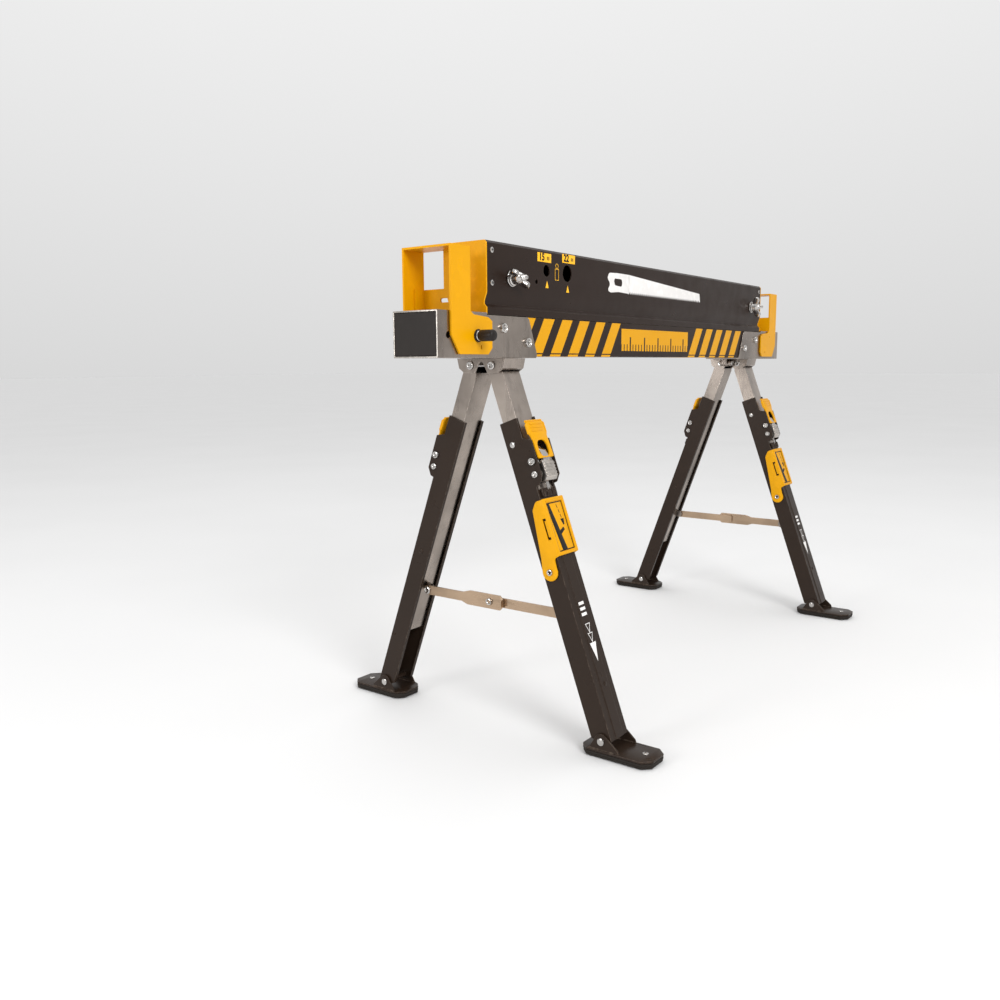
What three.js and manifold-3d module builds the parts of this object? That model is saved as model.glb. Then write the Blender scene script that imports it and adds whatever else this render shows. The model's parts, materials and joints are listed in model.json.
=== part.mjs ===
// Folding sawhorse with telescoping legs, sliding end brackets and fold-out support arms.
// Millimetres. X runs along the beam, -Y is the front, +Z is up. The origin is on the floor
// under the middle of the beam. Every end part is drawn for the left (-X) end, and a half
// turn about Z places its twin at the right end.
import * as THREE from "three";
import { mergeVertices } from "three/addons/utils/BufferGeometryUtils.js";
import Module from "manifold-3d";

const wasm = await Module();
wasm.setup();

// ---- driving dimensions -------------------------------------------------------------------
const HEIGHT = 630; // floor to the top of the beam, legs fully in
const BEAM_HEIGHT = 89; // upper beam, flush with a board standing on edge
const BEAM_LENGTH = 886;
const BEAM_WIDTH = 64;
const BEAM_SHEET = 1.6;
const TUBE_LENGTH = 1080; // lower tube with its end plugs
const TUBE_WIDTH = 64;
const TUBE_HEIGHT = 50;
const TUBE_WALL = 2;
const SLEEVE_WALL = 2;
const GAP = 0.3; // between pieces that touch
const BOARD_SLOT = 38; // closed end bracket, for a board 38 thick
const BRACKET_TRAVEL = 51; // slides out until the slot takes 89
const BRACKET_STRAP = 36;
const BRACKET_SHEET = 2.5;
const LEG_SPREAD = THREE.MathUtils.degToRad(19.9); // each leg from upright
const LEG_X = 395; // middle of a leg pair from the middle of the beam
const HINGE_Y = 17; // leg hinge from the middle plane
const HINGE_DROP = 61; // leg hinge below the top of the lower tube
const FOOT_DISTANCE = 487; // leg hinge to foot hinge, along the leg
const INNER_WIDTH = 36; // galvanised inner leg tube
const INNER_DEPTH = 22;
const INNER_WALL = 1.8;
const INNER_LENGTH = 395;
const CHANNEL_WALL = 2; // painted outer leg channel
const CHANNEL_TOP = 74; // along the leg from the hinge
const CHANNEL_END = 490;
const PIPE_SMALL = 15.4; // clear holes for 15 and 22 pipes
const PIPE_LARGE = 22.6;
const ROUND = 12; // sides of a round shape
const PIPE_ROUND = 24; // sides of a pipe hole

const TUBE_TOP = HEIGHT - BEAM_HEIGHT;
const BEAM_END = BEAM_LENGTH / 2;
const TUBE_END = TUBE_LENGTH / 2;
const SLEEVE_Y = TUBE_WIDTH / 2 + GAP + SLEEVE_WALL;
const SLEEVE_BOTTOM = -TUBE_HEIGHT - GAP - SLEEVE_WALL;
const SLEEVE_TOP = GAP + SLEEVE_WALL;
const CAP_PLATE = 2.2;
const CAP_FACE = BEAM_END + GAP + CAP_PLATE;
const WEB_FACE = CAP_FACE + BOARD_SLOT - 0.5;
const STRAP_EDGE = WEB_FACE + BRACKET_STRAP;
const BRACKET_TOP = 77; // above the lower tube
const BRACKET_Y = SLEEVE_Y + 0.7 + BRACKET_SHEET;
const PLUNGER_X = 470;
const PLUNGER_Z = -26;
const CHANNEL_X = INNER_WIDTH / 2 + 0.4 + CHANNEL_WALL;
const FOLD_PIVOT_X = 361;
const FOLD_PIVOT_Z = -60;
const YOKE_X = 22;
const LATCH_PIVOT = { along: 132.5, out: 17.5 };
const ARM_PIVOT = { along: 271, out: -2.1 };
const LINK_PIVOT = { along: 325, out: -19.5 };
const LINK_SPAN =
  HINGE_Y + LINK_PIVOT.along * Math.sin(LEG_SPREAD) + LINK_PIVOT.out * Math.cos(LEG_SPREAD);

// ---- materials ----------------------------------------------------------------------------
const finish = (color, roughness, metalness) =>
  new THREE.MeshStandardMaterial({ color, roughness, metalness });
const DARK = finish(0x362c28, 0.45, 0.2);
const HAZARD = finish(0xe0a000, 0.45, 0.1);
const YELLOW = finish(0xffb000, 0.4, 0.1);
const ZINC = finish(0x968c84, 0.4, 0.9);
const BRIGHT = finish(0xd8d8d8, 0.15, 1);
const PLASTIC = finish(0x33302f, 0.6, 0);
const RUBBER = finish(0x201e1d, 0.85, 0);

// ---- solids -------------------------------------------------------------------------------
// A closed three.js geometry, moved by a matrix, as a solid for joining and cutting.
function solid(geometry, matrix = new THREE.Matrix4()) {
  const bare = geometry.clone().applyMatrix4(matrix);
  bare.deleteAttribute("normal");
  bare.deleteAttribute("uv");
  const merged = mergeVertices(bare, 1e-4);
  return new wasm.Manifold(
    new wasm.Mesh({
      numProp: 3,
      vertProperties: merged.attributes.position.array,
      triVerts: new Uint32Array(merged.index.array),
    }),
  );
}

// A solid back as a flat-shaded geometry.
function geometryOf(made) {
  const mesh = made.getMesh();
  const geometry = new THREE.BufferGeometry();
  geometry.setAttribute("position", new THREE.BufferAttribute(mesh.vertProperties.slice(), 3));
  geometry.setIndex(new THREE.BufferAttribute(mesh.triVerts.slice(), 1));
  const flat = geometry.toNonIndexed();
  flat.computeVertexNormals();
  return flat;
}

const vector = (x, y, z) => new THREE.Vector3(x, y, z);
const basis = (right, up, out, at) =>
  new THREE.Matrix4().makeBasis(right, up, out).setPosition(at);
const X = vector(1, 0, 0);
const Y = vector(0, 1, 0);
const Z = vector(0, 0, 1);

// An outline as a THREE.Shape, from a list of its [u, v] corners.
const outline = (corners) => new THREE.Shape(corners.map(([u, v]) => new THREE.Vector2(u, v)));

function extrude(shape, depth, matrix, sides = ROUND) {
  const options = { depth, bevelEnabled: false, curveSegments: sides / 2 };
  return solid(new THREE.ExtrudeGeometry(shape, options), matrix);
}

// Outlines in the YZ, XZ and XY planes, extruded between two stations on the third axis.
const alongX = (shape, from, to) => extrude(shape, to - from, basis(Y, Z, X, vector(from, 0, 0)));
const alongY = (shape, from, to, sides) =>
  extrude(shape, to - from, basis(X, Z, Y.clone().negate(), vector(0, to, 0)), sides);
const alongZ = (shape, from, to) => extrude(shape, to - from, basis(X, Y, Z, vector(0, 0, from)));

function box(x0, x1, y0, y1, z0, z1) {
  const geometry = new THREE.BoxGeometry(x1 - x0, y1 - y0, z1 - z0);
  const centre = vector((x0 + x1) / 2, (y0 + y1) / 2, (z0 + z1) / 2);
  return solid(geometry, new THREE.Matrix4().setPosition(centre));
}

// Round bars from one station to another on an axis, through a point of the plane across it.
function disc(u, v, radius) {
  const shape = new THREE.Shape();
  shape.absarc(u, v, radius, 0, 2 * Math.PI, false);
  return shape;
}
const barX = (y, z, radius, from, to) => alongX(disc(y, z, radius), from, to);
const barY = (x, z, radius, from, to, sides) => alongY(disc(x, z, radius), from, to, sides);

const join = (...parts) => parts.reduce((whole, part) => whole.add(part));
const cut = (whole, ...tools) => tools.reduce((left, tool) => left.subtract(tool), whole);

// A rectangle with its corners cut at 45 degrees.
function chamfered(u0, u1, v0, v1, c) {
  return outline([
    [u0 + c, v0],
    [u1 - c, v0],
    [u1, v0 + c],
    [u1, v1 - c],
    [u1 - c, v1],
    [u0 + c, v1],
    [u0, v1 - c],
    [u0, v0 + c],
  ]);
}

// Mirrors a half outline given for u > 0, from bottom to top, into a whole one.
function mirrored(half) {
  return outline([...half, ...half.map(([u, v]) => [-u, v]).reverse()]);
}

function add(group, name, made, material) {
  const mesh = new THREE.Mesh(geometryOf(made), material);
  mesh.name = name;
  group.add(mesh);
  return mesh;
}

// ---- beam ---------------------------------------------------------------------------------
// The upper beam's section, with a folded groove above its lower lip, shrunk by an inset.
function beamSection(inset) {
  const y = BEAM_WIDTH / 2 - inset;
  return mirrored([
    [y, GAP + 0.3 + inset],
    [y, 9],
    [y - 3.8, 13],
    [y - 3.8, 17],
    [y, 27],
    [y, BEAM_HEIGHT - 3],
    [y - 3 + inset / 2, BEAM_HEIGHT - inset],
  ]);
}

const WING_SCREW = { x: 394, z: 46.5 };
const PIPE_HOLES = [
  { x: -314.7, z: 61.7, diameter: PIPE_SMALL },
  { x: -264.4, z: 61.7, diameter: PIPE_LARGE },
  { x: -338, z: 46, diameter: 6 },
];

function upperBeam() {
  const shell = cut(
    alongX(beamSection(0), -BEAM_END, BEAM_END),
    alongX(beamSection(BEAM_SHEET), -BEAM_END - 1, BEAM_END + 1),
  );
  const across = BEAM_WIDTH / 2 + 1;
  const pipes = PIPE_HOLES.map(({ x, z, diameter }) =>
    barY(x, z, diameter / 2, -across, across, PIPE_ROUND),
  );
  const studs = [-1, 1].map((side) => barY(side * WING_SCREW.x, WING_SCREW.z, 3.4, -across, -20));
  return cut(shell, ...pipes, ...studs);
}

function endCap() {
  const skirt = cut(
    alongX(beamSection(BEAM_SHEET + GAP), -BEAM_END - GAP - 0.5, -BEAM_END + 15),
    alongX(beamSection(BEAM_SHEET + GAP + 1.8), -BEAM_END - GAP, -BEAM_END + 16),
  );
  return join(alongX(beamSection(0), -CAP_FACE, -BEAM_END - GAP), skirt);
}

function lowerTube() {
  const half = TUBE_END - 2;
  const y = TUBE_WIDTH / 2;
  const plungerHoles = [-1, 1].flatMap((side) =>
    [0, BRACKET_TRAVEL].map((shift) =>
      barY(
        side * (PLUNGER_X + shift),
        PLUNGER_Z,
        4,
        side < 0 ? -y - 1 : y - 5,
        side < 0 ? -y + 5 : y + 1,
      ),
    ),
  );
  return cut(
    box(-half, half, -y, y, -TUBE_HEIGHT, 0),
    box(
      -half - 1,
      half + 1,
      -y + TUBE_WALL,
      y - TUBE_WALL,
      -TUBE_HEIGHT + TUBE_WALL,
      -TUBE_WALL,
    ),
    ...plungerHoles,
  );
}

function endPlug() {
  const y = TUBE_WIDTH / 2 - 0.2;
  const inner = TUBE_WIDTH / 2 - TUBE_WALL - GAP;
  const rim = TUBE_END - 2 + GAP;
  const z0 = -TUBE_HEIGHT + TUBE_WALL + GAP;
  const z1 = -TUBE_WALL - GAP;
  const skirt = cut(
    box(-rim - 0.5, -TUBE_END + 12, -inner, inner, z0, z1),
    box(-rim, -TUBE_END + 13, -inner + 2, inner - 2, z0 + 2, z1 - 2),
  );
  return join(box(-TUBE_END, -rim, -y, y, -TUBE_HEIGHT + 0.2, -0.2), skirt);
}

// A wrap of zinc-coated sheet round the tube's end. Its top plate stops at the upper beam.
function sleeve() {
  const side = outline([
    [-TUBE_END, SLEEVE_BOTTOM],
    [-342, SLEEVE_BOTTOM],
    [-340, SLEEVE_BOTTOM + 4],
    [-358, -3],
    [-362, -0.5],
    [-CAP_FACE - 1.5, -0.5],
    [-CAP_FACE - 1.5, SLEEVE_TOP],
    [-TUBE_END, SLEEVE_TOP],
  ]);
  const y = TUBE_WIDTH / 2 + GAP;
  return cut(
    alongY(side, -SLEEVE_Y, SLEEVE_Y),
    box(-TUBE_END - 1, -300, -y, y, -TUBE_HEIGHT - GAP, GAP),
    barY(-PLUNGER_X, PLUNGER_Z, 4, -SLEEVE_Y - 1, 0),
    barY(-PLUNGER_X - BRACKET_TRAVEL, PLUNGER_Z, 4, -SLEEVE_Y - 1, 0),
  );
}

// ---- end bracket --------------------------------------------------------------------------
// Two side flanges, a top strap, and a cross web whose front upright leaves a window.
function endBracket() {
  const y1 = BRACKET_Y;
  const y0 = y1 - BRACKET_SHEET;
  const flange = outline([
    [-STRAP_EDGE, BRACKET_TOP],
    [-STRAP_EDGE, -26],
    [-STRAP_EDGE + 15, -48],
    [-449, -48],
    [-441, -40],
    [-441, -8],
    [-449, -3.5],
    [-WEB_FACE + 5, -1],
    [-WEB_FACE, 3],
    [-WEB_FACE, BRACKET_TOP],
  ]);
  const slot = box(-464, -462, -y1 - 1, y1 + 1, -42, -37);
  const flanges = join(alongY(flange, -y1, -y0), alongY(flange, y0, y1));
  const topStrap = box(
    -STRAP_EDGE,
    -WEB_FACE,
    -y1,
    y1,
    BRACKET_TOP - BRACKET_SHEET,
    BRACKET_TOP,
  );
  const webBack = -WEB_FACE - BRACKET_SHEET;
  const webTop = 30;
  const web = box(webBack, -WEB_FACE, -y0 - 0.5, y0 + 0.5, SLEEVE_TOP + GAP, webTop);
  const upright = box(webBack, -WEB_FACE, -y0 - 0.5, 1.5, webTop - 1, BRACKET_TOP - 1);
  const doubler = box(
    -WEB_FACE - 19,
    -WEB_FACE,
    y0 - 2.2,
    y0 + 0.5,
    SLEEVE_TOP + GAP,
    webTop,
  );
  const screwSlot = join(
    box(webBack - 1, -WEB_FACE + 1, -5, 5, 14, 19),
    barX(-5, 16.5, 2.5, webBack - 1, -WEB_FACE + 1),
    barX(5, 16.5, 2.5, webBack - 1, -WEB_FACE + 1),
  );
  return cut(
    join(flanges, topStrap, web, upright, doubler),
    screwSlot,
    slot,
    barY(-PLUNGER_X, PLUNGER_Z, 4, -y1 - 1, 0),
  );
}

// Spring plunger: a steel tip in the bracket's flange and a round knob outside it.
function plunger() {
  const face = -BRACKET_Y;
  return join(
    barY(-PLUNGER_X, PLUNGER_Z, 3.6, face - 2, -SLEEVE_Y - 0.4),
    barY(-PLUNGER_X, PLUNGER_Z, 5.6, face - 4.5, face - 0.4),
    barY(-PLUNGER_X, PLUNGER_Z, 7, face - 24, face - 4),
    barY(-PLUNGER_X, PLUNGER_Z, 5.8, face - 26, face - 23),
  );
}

// ---- wing screws --------------------------------------------------------------------------
function wingStud(x) {
  const face = -BEAM_WIDTH / 2 - GAP;
  return join(
    barY(x, WING_SCREW.z, 3, face - 26, face + 6),
    barY(x, WING_SCREW.z, 9, face - 2.5, face),
  );
}

function wingNut(x) {
  const base = -BEAM_WIDTH / 2 - GAP - 2.8;
  const hub = join(
    barY(x, WING_SCREW.z, 7, base - 8, base),
    barY(x, WING_SCREW.z, 5.4, base - 14, base - 7),
  );
  const wing = outline([
    [x - 4, WING_SCREW.z - 3],
    [x - 16, WING_SCREW.z - 8],
    [x - 19, WING_SCREW.z],
    [x - 15, WING_SCREW.z + 7],
    [x, WING_SCREW.z + 4],
    [x + 15, WING_SCREW.z + 7],
    [x + 19, WING_SCREW.z],
    [x + 16, WING_SCREW.z - 8],
    [x + 4, WING_SCREW.z - 3],
  ]);
  const wings = alongY(wing, base - 13, base - 9.5);
  return cut(join(hub, wings), barY(x, WING_SCREW.z, 3.4, base - 20, base + 1));
}

// ---- leg hinges ---------------------------------------------------------------------------
// The knuckle under the sleeve that the leg pair folds about, lengthwise.
function foldKnuckle() {
  const y = 4.8;
  const block = box(-368, -350, -y, y, FOLD_PIVOT_Z - 2, SLEEVE_BOTTOM - GAP);
  const barrel = barY(-FOLD_PIVOT_X, FOLD_PIVOT_Z, 6.4, -y, y);
  return cut(join(block, barrel), barY(-FOLD_PIVOT_X, FOLD_PIVOT_Z, 3.3, -10, 10));
}

function headedPin(makeBar, u, v, radius, reach, headRadius) {
  return join(
    makeBar(u, v, radius, -reach, reach),
    makeBar(u, v, headRadius, -reach - 1.6, -reach + 0.2),
    makeBar(u, v, headRadius, reach - 0.2, reach + 1.6),
  );
}

// A sheet shoe over both leg tops, drawn about the middle of the leg pair (x = 0), with two
// lugs on its inner side for the fold pin.
function yoke() {
  const top = SLEEVE_BOTTOM - GAP;
  const notch = -HINGE_DROP + 3.5;
  const outside = mirrored([
    [3, notch],
    [11, -71.5],
    [28, -70.5],
    [35.6, -65],
    [38.5, top],
  ]);
  const inside = outline([
    [-36.2, top - 2],
    [-31, -75],
    [31, -75],
    [36.2, top - 2],
  ]);
  const shell = cut(alongX(outside, -YOKE_X, YOKE_X), alongX(inside, -YOKE_X + 2.5, YOKE_X - 2.5));
  const pinX = LEG_X - FOLD_PIVOT_X;
  const lug = (y0, y1) =>
    cut(
      join(
        box(YOKE_X - 1, pinX, y0, y1, FOLD_PIVOT_Z - 5.5, FOLD_PIVOT_Z + 5.5),
        barY(pinX, FOLD_PIVOT_Z, 5.5, y0, y1),
      ),
      barY(pinX, FOLD_PIVOT_Z, 3.3, y0 - 1, y1 + 1),
    );
  const holes = [-1, 1].map((side) => barX(side * HINGE_Y, -HINGE_DROP, 3.8, -30, 30));
  return cut(join(shell, lug(-11, -5.2), lug(5.2, 11)), ...holes);
}

// ---- legs ---------------------------------------------------------------------------------
// A leg is drawn hanging straight down from its hinge at the origin, with -Y as its outer side.
function innerTube(link) {
  const w = INNER_WIDTH / 2;
  const d = INNER_DEPTH / 2;
  const wall = INNER_WALL;
  const tube = cut(
    box(-w, w, -d, d, -INNER_LENGTH, 6),
    box(-w + wall, w - wall, -d + wall, d - wall, -INNER_LENGTH - 1, 7),
  );
  const bullet = new THREE.Shape();
  bullet.moveTo(-d - 1, -INNER_LENGTH - 1);
  bullet.lineTo(d + 1, -INNER_LENGTH - 1);
  bullet.lineTo(d + 1, -13);
  bullet.lineTo(5.8, 0);
  bullet.absarc(0, 0, 5.8, 0, Math.PI, false);
  bullet.lineTo(-d - 1, -13);
  const steps = [0, 1, 2, 3, 4].map((step) => {
    const z = -150 - 40 * step;
    return box(-8, 8, -d - 1, -d + 4, z - 3, z + 3);
  });
  return cut(
    join(tube.intersect(alongX(bullet, -w - 1, w + 1)), linkTab(link)),
    barX(0, 0, 3.8, -w - 1, w + 1),
    ...steps,
  );
}

// The two kinds of spreader link. Each lies in its own layer beside the tab that carries it,
// and "face" is the side of it that its rivet heads are on.
const PLAIN_LINK = { layer: [-4.6, -2], face: -1 };
const BRACKET_LINK = { layer: [5.2, 7.8], face: 1 };

// A length along X that starts at a link's outer face and grows outwards.
function beyond({ layer, face }, start, end) {
  const from = face < 0 ? layer[0] : layer[1];
  return face < 0 ? [from - end, from - start] : [from + start, from + end];
}

// The ear on the inner tube that carries a spreader link on its own headed rivet.
function linkTab(link) {
  const y = -LINK_PIVOT.out;
  const z = -LINK_PIVOT.along;
  const reach = beyond(link, 0, 1)[link.face < 0 ? 0 : 1];
  return join(
    box(-1.4, 1.4, INNER_DEPTH / 2 - 0.8, y, z - 6.5, z + 6.5),
    barX(y, z, 6.5, -1.4, 1.4),
    barX(y, z, 3, Math.min(0, reach), Math.max(0, reach)),
    barX(y, z, 5, ...beyond(link, GAP, 1.6)),
  );
}

// The painted channel: side walls, a web with a raised middle, two lips on the open side,
// ears for the latch, and the rivets that its foot and arm turn on.
function channel(withArm) {
  const x = CHANNEL_X;
  const inX = x - CHANNEL_WALL;
  const inY = INNER_DEPTH / 2 + 0.4;
  const lip = inY + 3.2;
  const web = -inY - 1.4;
  const section = outline([
    [x - 5, lip],
    [x - 5, lip - 1.6],
    [inX, lip - 1.6],
    [inX, -inY],
    [-inX, -inY],
    [-inX, lip - 1.6],
    [-x + 5, lip - 1.6],
    [-x + 5, lip],
    [-x, lip],
    [-x, web],
    [-9.5, web],
    [-8.5, web - 1.2],
    [8.5, web - 1.2],
    [9.5, web],
    [x, web],
    [x, lip],
  ]);
  const ear = outline([
    [0, -100],
    [-11, -100],
    [-25, -107],
    [-25, -154],
    [-18, -163],
    [0, -165],
  ]);
  const ears = [alongX(ear, -x, -inX), alongX(ear, inX, x)];
  // Cut off the inner corner of the lower end, so the foot can tilt.
  const heel = outline([
    [2, -CHANNEL_END - 1],
    [20, -CHANNEL_END - 1],
    [20, -CHANNEL_END + 13],
  ]);
  const body = cut(
    join(alongZ(section, -CHANNEL_END, -CHANNEL_TOP), ...ears),
    box(-inX + 1.6, inX - 1.6, -inY - 6, -inY + 1, -168, -CHANNEL_TOP + 1),
    barX(-LATCH_PIVOT.out, -LATCH_PIVOT.along, 3.4, -x - 1, x + 1),
    alongX(heel, -x - 1, x + 1),
  );
  const footRivet = barX(0, -FOOT_DISTANCE, 3.6, -25, 25);
  const armRivets = withArm
    ? [
        barX(-ARM_PIVOT.out, -ARM_PIVOT.along, 3.5, -24.6, -inX),
        barX(-ARM_PIVOT.out, -ARM_PIVOT.along, 3.5, inX, 24.6),
      ]
    : [];
  return join(body, footRivet, ...armRivets);
}

// The latch rocks on its pin: a steel pawl with a block below, and a yellow lever plate above.
function latchPawl() {
  const { along, out } = LATCH_PIVOT;
  const block = outline([
    [-15, -137],
    [-25, -134],
    [-27.5, -138],
    [-27.5, -156],
    [-25, -159.5],
    [-16.5, -159.5],
  ]);
  const arm = box(-11, 11, -out - 4, -out + 3.6, -148, -along + 5);
  return join(
    alongX(block, -12, 12),
    arm,
    barX(-out, -along, 3, -22.4, 22.4),
    barX(-out, -along, 5, -24, -CHANNEL_X - 0.4),
    barX(-out, -along, 5, CHANNEL_X + 0.4, 24),
  );
}

function latchLever() {
  const side = outline([
    [-20.5, -83],
    [-22.5, -80],
    [-24.5, -82],
    [-25.8, -106],
    [-27.2, -132],
    [-24.6, -132.5],
    [-23, -106],
    [-22, -88],
  ]);
  const head = alongX(side, -20, 20).intersect(box(-20, 20, -40, 0, -99, -70));
  const stem = alongX(side, -17.8, 17.8);
  return cut(join(head, stem), thumbHole());
}

function thumbHole() {
  const path = outline([
    [-7, -128],
    [7, -128],
    [8, -119],
    [4, -111],
    [-4, -111],
    [-8, -119],
  ]);
  return alongY(path, -40, 0);
}

// ---- feet ---------------------------------------------------------------------------------
// A foot is drawn about its hinge, standing level, with -Y as its outer end.
const FOOT = { inner: 32, outer: 67, halfWidth: 25, plateTop: -11.1, plate: 3 };

function footPlate() {
  const { inner, outer, halfWidth, plateTop, plate } = FOOT;
  const base = alongZ(
    chamfered(-halfWidth, halfWidth, -outer, inner, 11),
    plateTop - plate,
    plateTop,
  );
  const ear = new THREE.Shape();
  ear.moveTo(-24, plateTop - 1);
  ear.lineTo(19, plateTop - 1);
  ear.lineTo(9.4, 3.4);
  ear.absarc(0, 0, 10, 0.35, Math.PI * 0.83, false);
  ear.lineTo(-24, plateTop + 3);
  const ears = [
    alongX(ear, -CHANNEL_X - 3, -CHANNEL_X - 0.6),
    alongX(ear, CHANNEL_X + 0.6, CHANNEL_X + 3),
  ];
  return cut(join(base, ...ears), barX(0, 0, 4, -30, 30));
}

function footSole() {
  const { inner, outer, halfWidth, plateTop, plate } = FOOT;
  const top = plateTop - plate - GAP;
  const bottom = -solePivotHeight();
  const slab = alongZ(chamfered(-halfWidth, halfWidth, -outer, inner, 11), bottom + 2.5, top);
  const tread = alongZ(
    chamfered(-halfWidth + 2, halfWidth - 2, -outer + 3, inner - 3, 10),
    bottom,
    bottom + 3,
  );
  return join(slab, tread);
}

// The foot hinge's height over the floor.
function solePivotHeight() {
  return TUBE_TOP - HINGE_DROP - FOOT_DISTANCE * Math.cos(LEG_SPREAD);
}

// ---- support arm --------------------------------------------------------------------------
function supportArm() {
  const outX = CHANNEL_X + 3;
  const inX = CHANNEL_X + 0.6;
  const pivotY = -ARM_PIVOT.out;
  const pivotZ = -ARM_PIVOT.along;
  const face = -17.6;
  const side = new THREE.Shape();
  side.moveTo(face, -181);
  side.lineTo(face, -254.5);
  side.lineTo(pivotY - 10.4, pivotZ + 3);
  side.absarc(pivotY, pivotZ, 11, Math.PI * 0.92, Math.PI * 2.08, false);
  side.lineTo(pivotY + 7, -252);
  side.lineTo(pivotY - 0.8, -190);
  side.lineTo(pivotY - 9, -181);
  const sides = [alongX(side, -outX, -inX), alongX(side, inX, outX)];
  const web = box(-inX - 0.5, inX + 0.5, face, face + 2.2, -254.5, -181);
  const rack = [-232, -208].map((low) => box(-outX - 1, -inX + 1, -14, -9, low, low + 3));
  const rackSpine = box(-outX - 1, -inX + 1, -11, -9, -232, -205);
  return cut(join(web, ...sides), barX(pivotY, pivotZ, 3.9, -30, 30), ...rack, rackSpine);
}

// ---- spreader -----------------------------------------------------------------------------
// Links are drawn about their own rivet at the origin, pointing towards +Y.
function linkBody({ layer }, shape) {
  const bore = barX(0, 0, 3.4, layer[0] - 1, layer[1] + 1);
  return cut(join(alongX(shape, ...layer), barX(0, 0, 6.5, ...layer)), bore);
}

function plainLink() {
  const shape = chamfered(0, LINK_SPAN + 6, -6.5, 6.5, 2);
  return linkBody(PLAIN_LINK, shape);
}

// The link with the wide bracket over the middle, a lip at its end and the middle rivet.
function bracketLink() {
  const middle = LINK_SPAN;
  const shape = outline([
    [0, -6.5],
    [middle - 48, -6.5],
    [middle - 38, -10],
    [middle + 17, -10],
    [middle + 22, -5],
    [middle + 22, 5],
    [middle + 17, 10],
    [middle - 34, 10],
    [middle - 46, 6.5],
    [0, 6.5],
  ]);
  const [lip0, lip1] = beyond(BRACKET_LINK, -2, 4);
  return join(
    linkBody(BRACKET_LINK, shape),
    box(lip0, lip1, middle + 20, middle + 22, -5, 5),
    barX(middle, 0, 4.5, ...beyond(BRACKET_LINK, -1, 1.8)),
  );
}

// ---- assembly -----------------------------------------------------------------------------
const sawhorse = new THREE.Group();

const beam = new THREE.Group();
beam.position.z = TUBE_TOP;
sawhorse.add(beam);
add(beam, "lower_tube", lowerTube(), HAZARD);
add(beam, "upper_beam", upperBeam(), DARK);
for (const [name, side] of [["left", -1], ["right", 1]]) {
  add(beam, `${name}_wing_stud`, wingStud(side * WING_SCREW.x), BRIGHT);
  add(beam, `${name}_wing_nut`, wingNut(side * WING_SCREW.x), BRIGHT);
}

// One leg on its hinge, with its telescoping channel, latch, foot and spreader link.
function addLeg(parent, name, outward, withArm, link) {
  const side = new THREE.Group();
  side.rotation.z = outward < 0 ? 0 : Math.PI;
  side.position.z = -HINGE_DROP;
  parent.add(side);

  const leg = new THREE.Group();
  leg.position.y = -HINGE_Y;
  leg.rotation.x = -LEG_SPREAD;
  side.add(leg);
  add(leg, `${name}_inner_tube`, innerTube(link), ZINC);
  add(leg, `${name}_leg_channel`, channel(withArm), DARK);
  add(leg, `${name}_latch_pawl`, latchPawl(), ZINC);
  add(leg, `${name}_latch_lever`, latchLever(), YELLOW);
  if (withArm) {
    add(leg, `${name}_support_arm`, supportArm(), YELLOW);
  }

  const foot = new THREE.Group();
  foot.position.y = -HINGE_Y - FOOT_DISTANCE * Math.sin(LEG_SPREAD);
  foot.position.z = -FOOT_DISTANCE * Math.cos(LEG_SPREAD);
  side.add(foot);
  add(foot, `${name}_foot_plate`, footPlate(), DARK);
  add(foot, `${name}_foot_sole`, footSole(), RUBBER);

  const linkGroup = new THREE.Group();
  linkGroup.position.y = -LINK_SPAN;
  linkGroup.position.z =
    -LINK_PIVOT.along * Math.cos(LEG_SPREAD) + LINK_PIVOT.out * Math.sin(LEG_SPREAD);
  side.add(linkGroup);
  add(linkGroup, `${name}_spreader_link`, link === PLAIN_LINK ? plainLink() : bracketLink(), ZINC);
}

// Everything at one end of the horse. The right end is the left one after a half turn.
function addEnd(name, turn) {
  const end = new THREE.Group();
  end.position.z = TUBE_TOP;
  end.rotation.z = turn;
  sawhorse.add(end);
  add(end, `${name}_end_cap`, endCap(), YELLOW);
  add(end, `${name}_end_plug`, endPlug(), PLASTIC);
  add(end, `${name}_sleeve`, sleeve(), ZINC);
  add(end, `${name}_end_bracket`, endBracket(), YELLOW);
  add(end, `${name}_plunger`, plunger(), PLASTIC);
  add(end, `${name}_fold_knuckle`, foldKnuckle(), PLASTIC);
  add(
    end,
    `${name}_fold_pin`,
    headedPin(barY, -FOLD_PIVOT_X, FOLD_PIVOT_Z, 3, 11.5, 5),
    BRIGHT,
  );

  const legs = new THREE.Group();
  legs.position.x = -LEG_X;
  end.add(legs);
  add(legs, `${name}_leg_yoke`, yoke(), ZINC);
  for (const outward of [-1, 1]) {
    const isFront = outward < 0 === (turn === 0);
    const legName = `${name}_${isFront ? "front" : "back"}`;
    const pin = headedPin(barX, outward * HINGE_Y, -HINGE_DROP, 3.4, YOKE_X + 0.6, 5.5);
    add(legs, `${legName}_leg_pin`, pin, BRIGHT);
    addLeg(legs, legName, outward, isFront, outward < 0 ? PLAIN_LINK : BRACKET_LINK);
  }
}

addEnd("left", 0);
addEnd("right", Math.PI);

export default sawhorse;
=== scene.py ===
"""Looks of the folding sawhorse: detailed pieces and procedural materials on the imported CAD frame."""

import json
import math

import bmesh
import bpy
from mathutils import Matrix, Vector

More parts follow.
